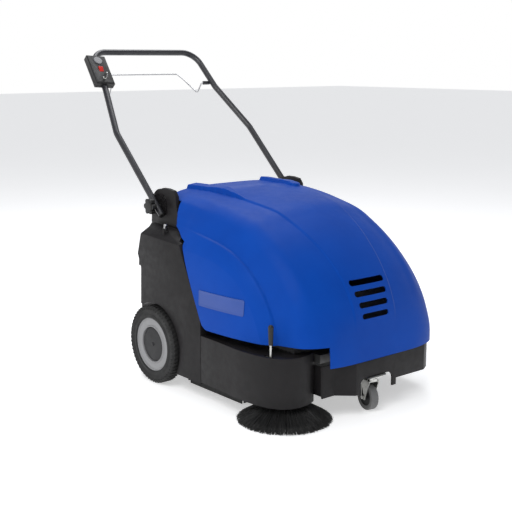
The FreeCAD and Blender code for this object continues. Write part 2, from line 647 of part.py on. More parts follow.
def handle_path():
    """Centre line of the whole handle tube, its corners rounded."""
    return rounded_path(route_both_sides(TUBE_ROUTE), [90, 110, 72, 72, 110, 90])


def handle_tube():
    path = handle_path()
    tube = rod(path, TUBE_R).cut(rod(path, TUBE_R - TUBE_T))
    for side in (-1, 1):
        tube = tube.cut(Part.makeCylinder(PIN_R + RUN, 60, V(side * ARM_X - 30, PIVOT_Y, PIVOT_Z), V(1, 0, 0)))
    lugs = [cyl_x(x0, x0 + 32, BAIL_Y, BAIL_Z, LUG_R) for x0 in (-272, 240)]
    tube = fuse([tube] + lugs)
    return tube.cut(cyl_x(-263, 263, BAIL_Y, BAIL_Z, BAIL_R + RUN)).cut(rod(path, TUBE_R - TUBE_T))


def arm_frame(distance, side=-1):
    """Placement on the upper arm: local X across, Y up the tube, Z out towards the operator."""
    low, high = V(*TUBE_ROUTE[2]), V(*TUBE_ROUTE[3])
    low.x, high.x = side * low.x, side * high.x
    along = (high - low).normalize()
    out = V(1, 0, 0).cross(along).normalize()
    across = along.cross(out)
    place = FreeCAD.Placement()
    place.Rotation = FreeCAD.Rotation(across, along, out, "XYZ")
    place.Base = low + along * distance
    return place


def on_arm(shape, distance):
    shape.Placement = arm_frame(distance).multiply(shape.Placement)
    return shape


BOX_AT = 88.0                         # middle of the control box, from the lower bend
BOX_LONG, BOX_WIDE = 150.0, 84.0
BOX_FRONT, BOX_BACK = -30.0, 22.0     # depth each side of the tube's centre line


def control_box():
    """Moulded case clamped on the arm, its front face bevelled all round."""
    hl, hw = BOX_LONG / 2, BOX_WIDE / 2
    wide = Part.makePolygon([V(-hw, -hl, 8), V(hw, -hl, 8), V(hw, hl, 8), V(-hw, hl, 8), V(-hw, -hl, 8)])
    mid = Part.makePolygon([V(-hw, -hl, -8), V(hw, -hl, -8), V(hw, hl, -8), V(-hw, hl, -8), V(-hw, -hl, -8)])
    small_w, small_l = hw - 22, hl - 26
    tip = Part.makePolygon([V(-small_w, -small_l, BOX_FRONT), V(small_w, -small_l, BOX_FRONT),
                            V(small_w, small_l, BOX_FRONT), V(-small_w, small_l, BOX_FRONT),
                            V(-small_w, -small_l, BOX_FRONT)])
    case = Part.makeLoft([wide, mid, tip], True, True)
    case = case.cut(Part.makeBox(BOX_WIDE - 6, BOX_LONG - 6, 12, V(-hw + 3, -hl + 3, 0)))
    case = on_arm(case, BOX_AT)
    # the bore follows the tube, which starts its upper bend inside the case
    case = case.cut(rod(handle_path(), TUBE_R + CLAMP_GAP))
    return case.cut(cyl_x(-300, -200, BAIL_Y, BAIL_Z, LUG_R))


def control_cover():
    """Operator-side lid of the control box, with key, rocker and gauge openings."""
    hl, hw = BOX_LONG / 2, BOX_WIDE / 2
    lid = Part.makeBox(BOX_WIDE, BOX_LONG, BOX_BACK - 8, V(-hw, -hl, 8))
    lid = lid.makeFillet(6, [e for e in lid.Edges if abs(e.CenterOfMass.z - BOX_BACK) < 0.1])
    lid = lid.cut(Part.makeCylinder(7.4, 10, V(0, -48, BOX_BACK - 6), V(0, 0, 1)))
    lid = lid.cut(Part.makeBox(20.8, 28.8, 10, V(-10.4, -14.4, BOX_BACK - 8)))
    return on_arm(lid, BOX_AT).cut(rod(handle_path(), TUBE_R + CLAMP_GAP))


def control_gauge():
    """Battery gauge window on the lid."""
    lens = Part.makeCylinder(17, 3, V(0, 46, BOX_BACK), V(0, 0, 1))
    bezel = Part.makeCone(20, 18, 2.5, V(0, 46, BOX_BACK), V(0, 0, 1))
    return on_arm(fuse([lens, bezel]), BOX_AT)


def control_key():
    barrel = Part.makeCylinder(7, 7, V(0, -48, BOX_BACK - 5), V(0, 0, 1))
    blade = Part.makeBox(3, 12, 12, V(-1.5, -54, BOX_BACK + 1))
    bow = Part.makeCylinder(11, 3, V(-1.5, -48, BOX_BACK + 20), V(1, 0, 0))
    return on_arm(fuse([barrel, blade, bow]), BOX_AT)


def drive_rocker():
    body = Part.makeBox(19, 24, 4, V(-9.5, -12, BOX_BACK - 5))
    hump = Part.makeLoft([Part.makePolygon([V(x, y, z) for x, y, z in face + face[:1]]) for face in (
        [(-9.5, -12, BOX_BACK - 1), (-9.5, 12, BOX_BACK - 1), (-9.5, 11, BOX_BACK + 5), (-9.5, -9, BOX_BACK + 1)],
        [(9.5, -12, BOX_BACK - 1), (9.5, 12, BOX_BACK - 1), (9.5, 11, BOX_BACK + 5), (9.5, -9, BOX_BACK + 1)])],
        True, True)
    return on_arm(fuse([body, hump]), BOX_AT)


def bail():
    """Wire drive bail: pivots in the arms, a kink down, then the squeeze bar."""
    side = [(262, 533, 1110), (231, 533, 1110), (227, 560, 1066), (217, 660, 1128), (209, 690, 1146)]
    path = rounded_path(route_both_sides(side), [6, 9, 14, 12, 12, 14, 9, 6])
    return rod(path, BAIL_R)


def clamp_knob(side):
    """Six-lobed clamp knob on the handle bolt."""
    core = cyl_x(352, 366, PIVOT_Y, PIVOT_Z, 15)
    lobes = []
    for i in range(6):
        a = math.radians(i * 60)
        y, z = PIVOT_Y + 21 * math.cos(a), PIVOT_Z + 21 * math.sin(a)
        lobes.append(cyl_x(358, 375, y, z, 10))
    cap = cyl_x(358, 377, PIVOT_Y, PIVOT_Z, 21)
    knob = fuse([core, cap] + lobes)
    knob = knob.cut(cyl_x(350, 374 + RUN, PIVOT_Y, PIVOT_Z, PIN_R + RUN))
    return knob if side > 0 else mirror_x(knob)


# ---------------------------------------------------------------- hopper, filter, fan
def hopper_bin():
    """Debris bin: open top, low front lip facing the broom."""
    t = 3.0
    outer = box(-HOPPER_X, HOPPER_X, HOPPER_Y0, HOPPER_Y1, HOPPER_Z0, HOPPER_Z1)
    outer = outer.makeFillet(14, [e for e in outer.Edges if abs(e.CenterOfMass.y - HOPPER_Y1) < 0.1
                                  and abs(abs(e.CenterOfMass.x) - HOPPER_X) < 0.1])
    room = box(-HOPPER_X + t, HOPPER_X - t, HOPPER_Y0 + t, HOPPER_Y1 - t, HOPPER_Z0 + t, HOPPER_Z1 + 10)
    room = room.makeFillet(11, [e for e in room.Edges if abs(e.CenterOfMass.y - HOPPER_Y1 + t) < 0.1
                                and abs(abs(e.CenterOfMass.x) - HOPPER_X + t) < 0.1])
    mouth = box(-HOPPER_X + t, HOPPER_X - t, HOPPER_Y0 - 1, HOPPER_Y0 + t + 1, HOPPER_Z0 + 30, HOPPER_Z1 + 10)
    return outer.cut(room).cut(mouth)


def hopper_handle():
    """Grip bar across the hopper's rear face."""
    bar = box(-90, 90, HOPPER_Y1 + 24, HOPPER_Y1 + 36, 330, 352)
    posts = [box(x - 10, x + 10, HOPPER_Y1, HOPPER_Y1 + 26, 330, 352) for x in (-80, 80)]
    grip = fuse([bar] + posts)
    return grip.makeFillet(4, [e for e in grip.Edges if abs(e.CenterOfMass.y - HOPPER_Y1 - 36) < 0.1])


def filter_box():
    frame = box(-260, 260, -60, 110, 410, 500).cut(box(-250, 250, -50, 100, 405, 496))
    return frame.cut(cyl_z(480, 520, 0, 20, 60))


def filter_element():
    """Pleated panel: a row of folded slats in the filter box."""
    outline, count = [], 20
    step = 500.0 / count
    for i in range(count):
        outline += [(-250 + i * step, 424), (-250 + (i + 0.5) * step, 470)]
    outline.append((250, 424))
    under = [(x, z - 7) for x, z in reversed(outline)]
    wire = Part.makePolygon([V(x, -49.5, z) for x, z in outline + under + outline[:1]])
    return Part.Face(wire).extrude(V(0, 149, 0))


def fan_housing():
    """Suction fan case on the filter box, with its motor on top."""
    case = cyl_z(500, 566, 0, 20, 92).cut(cyl_z(504, 562, 0, 20, 88)).cut(cyl_z(490, 505, 0, 20, 58))
    outlet = box(60, 150, 50, 108, 506, 560).cut(box(50, 151, 54, 104, 510, 556))
    outlet = outlet.cut(cyl_z(490, 580, 0, 20, 90))
    motor = fuse([cyl_z(566, 626, 0, 20, 44), cyl_z(626, 634, 0, 20, 30)])
    case = fuse([case, outlet.common(box(60, 150, 40, 120, 500, 566)), motor])
    case = case.cut(box(70, 100, 54, 104, 510, 556))
    return case.cut(cyl_z(550, 580, 0, 20, 4 + RUN))


def fan_impeller():
    disc = cyl_z(552, 555, 0, 20, 80)
    blades = []
    for i in range(9):
        blade = box(26, 78, 19, 21.5, 512, 553)
        blade.rotate(V(26, 20, 0), V(0, 0, 1), 22)
        blade.rotate(V(0, 20, 0), V(0, 0, 1), i * 40)
        blades.append(blade)
    hub = cyl_z(540, 556, 0, 20, 12)
    return fuse([disc, hub, cyl_z(555, 576, 0, 20, 4)] + blades)


# ---------------------------------------------------------------- electrics
def deck_plate():
    plate = box(-PLATE_IN, PLATE_IN, -386, -112, 398, 402)
    lip = box(-PLATE_IN, PLATE_IN, -390, -386, 380, 402)
    return fuse([plate, lip])


def charger_box():
    case = box(-250, -30, -370, -200, 402, 480)
    case = case.makeFillet(6, [e for e in case.Edges if abs(e.CenterOfMass.z - 480) < 0.1])
    fins = [box(-240 + i * 20, -236 + i * 20, -355, -215, 479, 494) for i in range(10)]
    return fuse([case] + fins)


BATTERY_POST_Y = -496.0


def batteries():
    """Two 12 V batteries with lids and terminal posts."""
    group = []
    for x0 in (-270, 10):
        case = box(x0, x0 + 260, -644, -472, 239.5, 418)
        lid = box(x0 - 4, x0 + 264, -646, -470, 406, 428)
        posts = [cyl_z(428, 440, x0 + 40 + i * 180, BATTERY_POST_Y, 8) for i in range(2)]
        group.append(fuse([case, lid] + posts))
    return group


def battery_cables():
    """Bridge lead between the two batteries, with its ring terminals."""
    ends = (-50.0, 50.0)
    path = rounded_path([(ends[0], BATTERY_POST_Y, 447), (ends[0] + 24, BATTERY_POST_Y, 478),
                         (ends[1] - 24, BATTERY_POST_Y, 478), (ends[1], BATTERY_POST_Y, 447)], [16, 16])
    lugs = [cyl_z(440.2, 446, x, BATTERY_POST_Y, 9) for x in ends]
    return fuse([rod(path, 5)] + lugs)


def latch_hook():
    """Small hooked tab on the right shelf, standing clear of the hood."""
    y, z = LATCH_Y, LATCH_Z
    tab = prism_x([(y - 4, z), (y + 4, z), (y + 6, z + 8), (y + 4, z + 13), (y + 6, z + 18), (y + 1, z + 22),
                   (y - 9, z + 22), (y - 11, z + 17), (y - 4, z + 13), (y - 4, z + 6)], LATCH_X - 4, LATCH_X + 4)
    hook = fuse([tab, cyl_x(LATCH_X - 5, LATCH_X + 5, y, z, 5)])
    return hook.cut(cyl_x(LATCH_X - 6, LATCH_X + 6, y, z, 2.5 + RUN))


# ---------------------------------------------------------------- write every node
def main():
    save("side_plate_right", side_plate(-1))
    save("side_plate_left", side_plate(1))
    save("base_frame", base_frame())
    save("handle_bracket_right", bracket(-1))
    save("handle_bracket_left", bracket(1))
    save("pivot_pins", pivot_pins())
    save("side_panel_right", side_panel(-1))
    save("side_panel_left", side_panel(1))
    save("front_body", front_body())
    save("brush_housing", brush_housing())
    save("rear_cover", rear_cover())
    save("hood", hood())
    save("transaxle_case", transaxle_case())
    save("traction_motor", traction_motor())
    for name, side in (("right", -1), ("left", 1)):
        save("half_shaft_" + name, half_shaft(side))
        save("tyre_" + name, tyre(side))
        save("rim_" + name, rim(side))
        save("hub_cap_" + name, hub_cap(side))
        save("clamp_knob_" + name, clamp_knob(side))
    save("broom_core", broom_core())
    save("broom_bristles", broom_bristles())
    save("broom_bearings", broom_bearings())
    save("broom_shroud", broom_shroud())
    save("broom_motor", broom_motor())
    save("broom_pulley", pulley(BELT_X0, BELT_X1, BROOM_Y, BROOM_Z, PULLEY_R, SHAFT_R))
    save("motor_pulley", fuse([pulley(BELT_X0, BELT_X1, MOTOR_Y, MOTOR_Z, PINION_R, 6),
                               cyl_x(PLATE_IN + 1, BELT_X1 + 3, MOTOR_Y, MOTOR_Z, 6)]))
    save("drive_belt", drive_belt())
    save("floor_skirts", floor_skirts())
    save("side_brush_arm", brush_arm())
    save("side_brush_motor", brush_motor())
    save("side_brush_hub", brush_hub())
    save("side_brush_bristles", brush_bristles())
    save("lift_lever", lift_lever())
    save("lever_grip", lever_grip())
    save("caster_plate", caster_plate())
    save("caster_fork", [caster_fork(), caster_axle()])
    save("caster_wheel", caster_wheel())
    save("handle_tube", handle_tube())
    save("control_box", control_box())
    save("control_cover", control_cover())
    save("control_gauge", control_gauge())
    save("control_key", control_key())
    save("drive_rocker", drive_rocker())
    save("bail", bail())
    save("hopper_bin", hopper_bin())
    save("hopper_handle", hopper_handle())
    save("filter_box", filter_box())
    save("filter_element", filter_element())
    save("fan_housing", fan_housing())
    save("fan_impeller", fan_impeller())
    save("deck_plate", deck_plate())
    save("charger_box", charger_box())
    save("batteries", batteries())
    save("battery_cables", battery_cables())
    save("latch_hook", latch_hook())


main()
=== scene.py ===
"""Walk behind sweeper: looks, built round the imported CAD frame.  Metres, +Z up, the machine faces -Y."""
import bmesh
import bpy
import json
import math
import random
import numpy as np
from mathutils import Matrix, Vector


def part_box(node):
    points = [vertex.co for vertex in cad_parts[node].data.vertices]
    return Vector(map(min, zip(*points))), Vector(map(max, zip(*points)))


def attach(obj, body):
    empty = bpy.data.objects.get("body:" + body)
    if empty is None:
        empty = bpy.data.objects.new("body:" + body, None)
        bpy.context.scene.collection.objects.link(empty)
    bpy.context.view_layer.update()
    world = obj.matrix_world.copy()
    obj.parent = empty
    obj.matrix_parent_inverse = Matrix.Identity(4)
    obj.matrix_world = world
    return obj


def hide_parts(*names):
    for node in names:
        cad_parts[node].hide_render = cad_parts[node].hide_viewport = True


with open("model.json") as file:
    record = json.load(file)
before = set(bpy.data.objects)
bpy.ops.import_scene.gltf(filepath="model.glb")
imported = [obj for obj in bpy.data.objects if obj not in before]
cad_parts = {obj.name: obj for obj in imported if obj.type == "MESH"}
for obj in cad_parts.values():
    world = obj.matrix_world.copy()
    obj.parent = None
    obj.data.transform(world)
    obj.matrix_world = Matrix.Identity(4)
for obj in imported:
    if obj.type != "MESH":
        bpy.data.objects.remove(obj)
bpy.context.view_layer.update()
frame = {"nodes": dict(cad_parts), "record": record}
NODES = frame["nodes"]
MM = 0.001


# ---------------------------------------------------------------- small helpers
def smooth_step(lo, hi, value):
    t = np.clip((value - lo) / (hi - lo), 0.0, 1.0)
    return t * t * (3 - 2 * t)


def mesh_object(name, verts, faces, smooth=True):
    mesh = bpy.data.meshes.new(name)
    mesh.from_pydata([tuple(v) for v in verts], [], [tuple(f) for f in faces])
    mesh.update()
    if smooth:
        mesh.polygons.foreach_set("use_smooth", [True] * len(mesh.polygons))
    obj = bpy.data.objects.new(name, mesh)
    bpy.context.scene.collection.objects.link(obj)
    return obj


def object_from_bmesh(name, bm):
    mesh = bpy.data.meshes.new(name)
    bm.to_mesh(mesh)
    bm.free()
    obj = bpy.data.objects.new(name, mesh)
    bpy.context.scene.collection.objects.link(obj)
    return obj


def apply_modifiers(obj):
    depsgraph = bpy.context.evaluated_depsgraph_get()
    depsgraph.update()
    mesh = bpy.data.meshes.new_from_object(obj.evaluated_get(depsgraph), depsgraph=depsgraph)
    obj.modifiers.clear()
    obj.data = mesh
    return obj


def shade_by_angle(obj, degrees=32.0):
    """Smooth shading with sharp edges where faces turn by more than the angle."""
    mesh = obj.data
    mesh.polygons.foreach_set("use_smooth", [True] * len(mesh.polygons))
    bm = bmesh.new()
    bm.from_mesh(mesh)
    limit = math.radians(degrees)
    for edge in bm.edges:
        edge.smooth = not (len(edge.link_faces) == 2 and edge.calc_face_angle(0.0) > limit)
    bm.to_mesh(mesh)
    bm.free()


def finish_piece(obj, body, slot, material, *replaced):
    obj.data.materials.clear()
    obj.data.materials.append(material)
    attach(obj, body)
    if replaced:
        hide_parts(*replaced)
    return obj


# ---------------------------------------------------------------- materials
class Surface:
    """A Principled material whose colour, roughness and bump are built from object-space noise."""

    def __init__(self, name, roughness=0.5, metallic=0.0, **sockets):
        self.material = bpy.data.materials.new(name)
        self.material.use_nodes = True
        self.tree = self.material.node_tree
        self.shader = self.tree.nodes["Principled BSDF"]
        self.shader.inputs["Roughness"].default_value = roughness
        self.shader.inputs["Metallic"].default_value = metallic
        for key, value in sockets.items():
            self.shader.inputs[key.replace("_", " ")].default_value = value
        self.coords = self.tree.nodes.new("ShaderNodeTexCoord").outputs["Object"]
        self.height = None

    def noise(self, scale, detail=3.0, rough=0.55, stretch=(1, 1, 1)):
        mapping = self.tree.nodes.new("ShaderNodeMapping")
        mapping.inputs["Scale"].default_value = stretch
        self.tree.links.new(self.coords, mapping.inputs["Vector"])
        node = self.tree.nodes.new("ShaderNodeTexNoise")
        node.inputs["Scale"].default_value = scale
        node.inputs["Detail"].default_value = detail
        node.inputs["Roughness"].default_value = rough
        self.tree.links.new(mapping.outputs["Vector"], node.inputs["Vector"])
        return node.outputs["Fac"]

    def remap(self, value, low, high, start=0.3, end=0.7):
        node = self.tree.nodes.new("ShaderNodeMapRange")
        for key, number in (("From Min", start), ("From Max", end), ("To Min", low), ("To Max", high)):
            node.inputs[key].default_value = number
        self.tree.links.new(value, node.inputs["Value"])
        return node.outputs["Result"]

    def colours(self, value, stops):
        ramp = self.tree.nodes.new("ShaderNodeValToRGB")
        ramp.color_ramp.elements[0].position = stops[0][0]
        ramp.color_ramp.elements[0].color = (*stops[0][1], 1)
        ramp.color_ramp.elements[1].position = stops[-1][0]
        ramp.color_ramp.elements[1].color = (*stops[-1][1], 1)
        for place, colour in stops[1:-1]:
            ramp.color_ramp.elements.new(place).color = (*colour, 1)
        self.tree.links.new(value, ramp.inputs["Fac"])
        self.tree.links.new(ramp.outputs["Color"], self.shader.inputs["Base Color"])
        return self

    def roughness(self, value, low, high):
        self.tree.links.new(self.remap(value, low, high), self.shader.inputs["Roughness"])
        return self

    def bump(self, value, strength, distance):
        node = self.tree.nodes.new("ShaderNodeBump")
        node.inputs["Strength"].default_value = strength
        node.inputs["Distance"].default_value = distance
        self.tree.links.new(value, node.inputs["Height"])
        if self.height is not None:
            self.tree.links.new(self.height, node.inputs["Normal"])
        self.height = node.outputs["Normal"]
        self.tree.links.new(self.height, self.shader.inputs["Normal"])
        return self


def plastic(name, dark, light, rough=(0.42, 0.55), grain=900.0, depth=0.00012, coat=0.0, level=0.35,
            sheen=0.0):
    """Moulded plastic: cloudy colour, fine grain, patchy gloss."""
    s = Surface(name, Coat_Weight=coat, Coat_Roughness=0.25, Specular_IOR_Level=level, Sheen_Weight=sheen,
                Sheen_Roughness=0.5)
    cloud = s.noise(7.0, 4.0)
    s.colours(cloud, [(0.3, dark), (0.7, light)])
    s.roughness(s.noise(38.0, 3.0), *rough)
    s.bump(s.noise(grain, 2.0, 0.7), 0.5, depth)
    s.bump(s.noise(22.0, 2.0), 0.25, 0.0006)
    return s.material


def metal(name, dark, light, rough=(0.25, 0.42), stretch=(1, 1, 1), grain=260.0, depth=0.00008):
    """Plated or brushed metal, streaked along one axis."""
    s = Surface(name, metallic=1.0)
    s.colours(s.noise(30.0, 4.0, 0.6, stretch), [(0.3, dark), (0.7, light)])
    s.roughness(s.noise(90.0, 3.0, 0.6, stretch), *rough)
    s.bump(s.noise(grain, 2.0, 0.6, stretch), 0.4, depth)
    return s.material


def painted(name, dark, light, rough=(0.35, 0.5), depth=0.0001):
    """Powder coat over steel: slight orange peel."""
    s = Surface(name, Coat_Weight=0.15, Coat_Roughness=0.3)
    s.colours(s.noise(12.0, 4.0), [(0.3, dark), (0.7, light)])
    s.roughness(s.noise(60.0, 3.0), *rough)
    s.bump(s.noise(420.0, 2.0, 0.6), 0.5, depth)
    return s.material


def grey(value, tint=0.0):
    return (value, value, value * (1 + tint))


MATERIALS = {
    "blue_plastic": plastic("blue_plastic", (0.0004, 0.046, 0.310), (0.0008, 0.053, 0.345), (0.42, 0.52),
                            1100.0, 0.00010, level=0.07, sheen=0.04),
    "black_plastic": plastic("black_plastic", (0.0084, 0.0076, 0.0082), (0.0120, 0.0109, 0.0117),
                             (0.42, 0.56), 700.0, 0.00018, level=0.20),
    "knob_plastic": plastic("knob_plastic", grey(0.010), grey(0.016), (0.40, 0.52), 800.0, 0.00010),
    "cap_plastic": plastic("cap_plastic", grey(0.012, 0.08), grey(0.017, 0.08), (0.42, 0.55), 800.0, 0.0001,
                           level=0.25),
    "rim_grey": plastic("rim_grey", grey(0.225, 0.02), grey(0.260, 0.02), (0.45, 0.58), 800.0, 0.0001),
    "tyre_rubber": plastic("tyre_rubber", grey(0.012), grey(0.020), (0.62, 0.8), 500.0, 0.0002),
    "rubber_black": plastic("rubber_black", grey(0.014), grey(0.022), (0.55, 0.75), 500.0, 0.0002),
    "caster_rubber": plastic("caster_rubber", grey(0.11), grey(0.15), (0.5, 0.65), 500.0, 0.0001),
    "bristle": plastic("bristle", grey(0.006), grey(0.018), (0.35, 0.6), 300.0, 0.0002),
    "battery_case": plastic("battery_case", grey(0.03, 0.1), grey(0.045, 0.1), (0.4, 0.55)),
    "cable_red": plastic("cable_red", (0.30, 0.01, 0.008), (0.42, 0.018, 0.012), (0.4, 0.5)),
    "red_plastic": plastic("red_plastic", (0.42, 0.012, 0.008), (0.5, 0.02, 0.012), (0.25, 0.35), coat=0.4),
    "gauge_lens": plastic("gauge_lens", grey(0.02, 0.3), grey(0.03, 0.3), (0.08, 0.14), 900, 0.00002,
                          coat=0.8),
    "filter_paper": plastic("filter_paper", (0.55, 0.50, 0.38), (0.68, 0.63, 0.5), (0.8, 0.95), 300.0,
                            0.0003),
    "frame_steel": painted("frame_steel", grey(0.03), grey(0.045)),
    "motor_paint": painted("motor_paint", grey(0.02), grey(0.03)),
    "black_tube": painted("black_tube", grey(0.012, 0.25), grey(0.019, 0.25), (0.30, 0.42), 0.00006),
    "zinc_steel": metal("zinc_steel", (0.42, 0.42, 0.40), (0.6, 0.6, 0.58)),
    "wire_steel": metal("wire_steel", (0.40, 0.40, 0.41), (0.52, 0.52, 0.53), (0.2, 0.3)),
    "cast_grey": metal("cast_grey", grey(0.16), grey(0.24), (0.5, 0.7), grain=180.0, depth=0.0003),
    "aluminium": metal("aluminium", grey(0.5), grey(0.62), (0.3, 0.42), (1, 8, 1)),
}
SLOT_OF = {part["node"]: part["material_slot"] for part in frame["record"]["subparts"]}
BODY_OF = {node: body for body, names in frame["record"]["behaviour"]["bodies"].items() for node in names}


def dress_cad_nodes():
    for name, obj in NODES.items():
        obj.data.materials.clear()
        obj.data.materials.append(MATERIALS[SLOT_OF[name]])


# ---------------------------------------------------------------- softened copies of CAD parts
def softened(node, width, segments=3, name=None, angle=28.0):
    """The CAD part with its flat faces restored and every sharp edge rounded, as moulded or cast."""
    bm = bmesh.new()
    bm.from_mesh(NODES[node].data)
    bmesh.ops.remove_doubles(bm, verts=bm.verts, dist=2e-5)
    bmesh.ops.dissolve_limit(bm, angle_limit=math.radians(1.0), use_dissolve_boundaries=False,
                             verts=bm.verts, edges=bm.edges)
    obj = object_from_bmesh(name or node + "_finished", bm)
    bevel = obj.modifiers.new("rounded", "BEVEL")
    bevel.width = width
    bevel.segments = segments
    bevel.limit_method = "ANGLE"
    bevel.angle_limit = math.radians(angle)
    bevel.use_clamp_overlap = True
    bevel.harden_normals = False
    apply_modifiers(obj)
    shade_by_angle(obj, 38.0)
    return finish_piece(obj, BODY_OF[node], SLOT_OF[node], MATERIALS[SLOT_OF[node]], node)


# ---------------------------------------------------------------- hood
HOOD_MM = dict(right=403.0, left=408.0, nose=-783.0, rear=45.5, low=199.0, step=272.0, thick=4.0)
HOOD_TOP = [(60, 733), (-40, 732), (-120, 729), (-220, 720), (-310, 706), (-411, 685), (-475, 657), (-542,
                                                                                                     620),
            (-603, 577), (-665, 520), (-714, 458), (-742, 405), (-762, 352), (-773, 285), (-779, 235),
            (-783, 187)]
HOOD_FLOOR = 187.0                     # where the arched sections would meet the level
FAN_Y = -300.0                         # sections fan out about this line towards the nose


def smooth_line(points, per_span=24):
    """Catmull-Rom line through the points."""
    p = np.array(points, float)
    p = np.vstack([2 * p[0] - p[1], p, 2 * p[-1] - p[-2]])
    out = []
    for i in range(1, len(p) - 2):
        t = np.linspace(0, 1, per_span, endpoint=False)[:, None]
        a, b, c, d = p[i - 1], p[i], p[i + 1], p[i + 2]
        out.append(0.5 * (2 * b + (c - a) * t + (2 * a - 5 * b + 4 * c - d) * t ** 2
                          + (3 * b - a - 3 * c + d) * t ** 3))
    return np.vstack(out + [p[-2][None]])


TOP_LINE = smooth_line(HOOD_TOP)[::-1]


def hood_top(y):
    return np.interp(y, TOP_LINE[:, 0], TOP_LINE[:, 1])


def hood_half(x, y):
    reach = np.clip(y / HOOD_MM["nose"], 0.0, 0.99999)
    right = HOOD_MM["right"] * (1 - reach ** 4.0) ** (1 / 4.0)
    left = HOOD_MM["left"] * (1 - reach ** 5.2) ** (1 / 5.2)
    return np.where(x < 0, right, left)


def hood_inside(x, y, z):
    """Positive inside the plain arched dome."""
    reach = np.clip(y / HOOD_MM["nose"], 0.0, 1.0)
    flat, square = 3.6 - 0.8 * reach, 6.5 - 3.7 * reach
    ratio = np.clip(np.abs(x) / np.maximum(hood_half(x, y), 1e-3), 0.0, 1.2)
    cosine = np.minimum(ratio, 1.0) ** (flat / 2)
    sine = np.sqrt(np.clip(1 - cosine ** 2, 0, 1))
    roof = HOOD_FLOOR + (hood_top(y) - HOOD_FLOOR) * sine ** (2 / square)
    return (ratio < 1.0) & (z < roof) & (y > HOOD_MM["nose"])


def hood_surface(across, rows_rear, rows_front):
    """Grid of points on the dome: straight rows at the rear, then a fan of rows round the nose."""
    a = np.linspace(0.0, math.pi, across)
    a = a + 0.06 * np.sin(4 * a) * -0.5
    origins, directions = [], []
    for y in np.linspace(HOOD_MM["rear"], FAN_Y, rows_rear, endpoint=False):
        origins.append(np.tile([0.0, y, HOOD_FLOOR], (across, 1)))
        directions.append(np.stack([np.cos(a), 0 * a, np.sin(a)], 1))
    for tilt in np.linspace(0.0, math.pi / 2, rows_front):
        origins.append(np.tile([0.0, FAN_Y, HOOD_FLOOR], (across, 1)))
        directions.append(np.stack([np.cos(a), -np.sin(a) * math.sin(tilt), np.sin(a) * math.cos(tilt)], 1))
    origin, direction = np.array(origins), np.array(directions)
    low = np.zeros(origin.shape[:2])
    high = np.full(origin.shape[:2], 1100.0)
    for _ in range(34):
        mid = (low + high) / 2
        p = origin + direction * mid[..., None]
        within = hood_inside(p[..., 0], p[..., 1], p[..., 2])
        low = np.where(within, mid, low)
        high = np.where(within, high, mid)
    return origin + direction * low[..., None]


CREASE = np.array([(-785, 96), (-700, 104), (-659, 111), (-612, 118), (-547, 130), (-477, 141), (-363, 160),
                   (-300, 168), (-200, 178), (-100, 188), (50, 205)], float)      # y, |x|
OUTER_ARC = smooth_line([(60, 640), (-115, 622), (-258, 600), (-367, 577), (-444, 546), (-509, 503),
                         (-564, 449), (-603, 390), (-624, 340), (-636, 280), (-641, 200)], 12)
INNER_ARC = smooth_line([(60, 546), (-160, 540), (-260, 534), (-347, 521), (-421, 496), (-476, 463),
                         (-523, 411), (-560, 352), (-580, 300), (-590, 260), (-596, 200)], 12)


def below_arc(y, z, line):
    """Signed distance in side view from an arc, positive on the panel side."""
    flat_y, flat_z = y.ravel(), z.ravel()
    best = np.full(flat_y.shape, 1e9)
    sign = np.ones(flat_y.shape)
    for (y0, z0), (y1, z1) in zip(line[:-1], line[1:]):
        dy, dz = y1 - y0, z1 - z0
        span = dy * dy + dz * dz
        t = np.clip(((flat_y - y0) * dy + (flat_z - z0) * dz) / span, 0, 1)
        distance = np.hypot(flat_y - y0 - t * dy, flat_z - z0 - t * dz)
        side = dy * (flat_z - z0) - dz * (flat_y - y0)
        nearer = distance < best
        best = np.where(nearer, distance, best)
        sign = np.where(nearer, np.sign(side), sign)
    return (best * sign).reshape(y.shape)


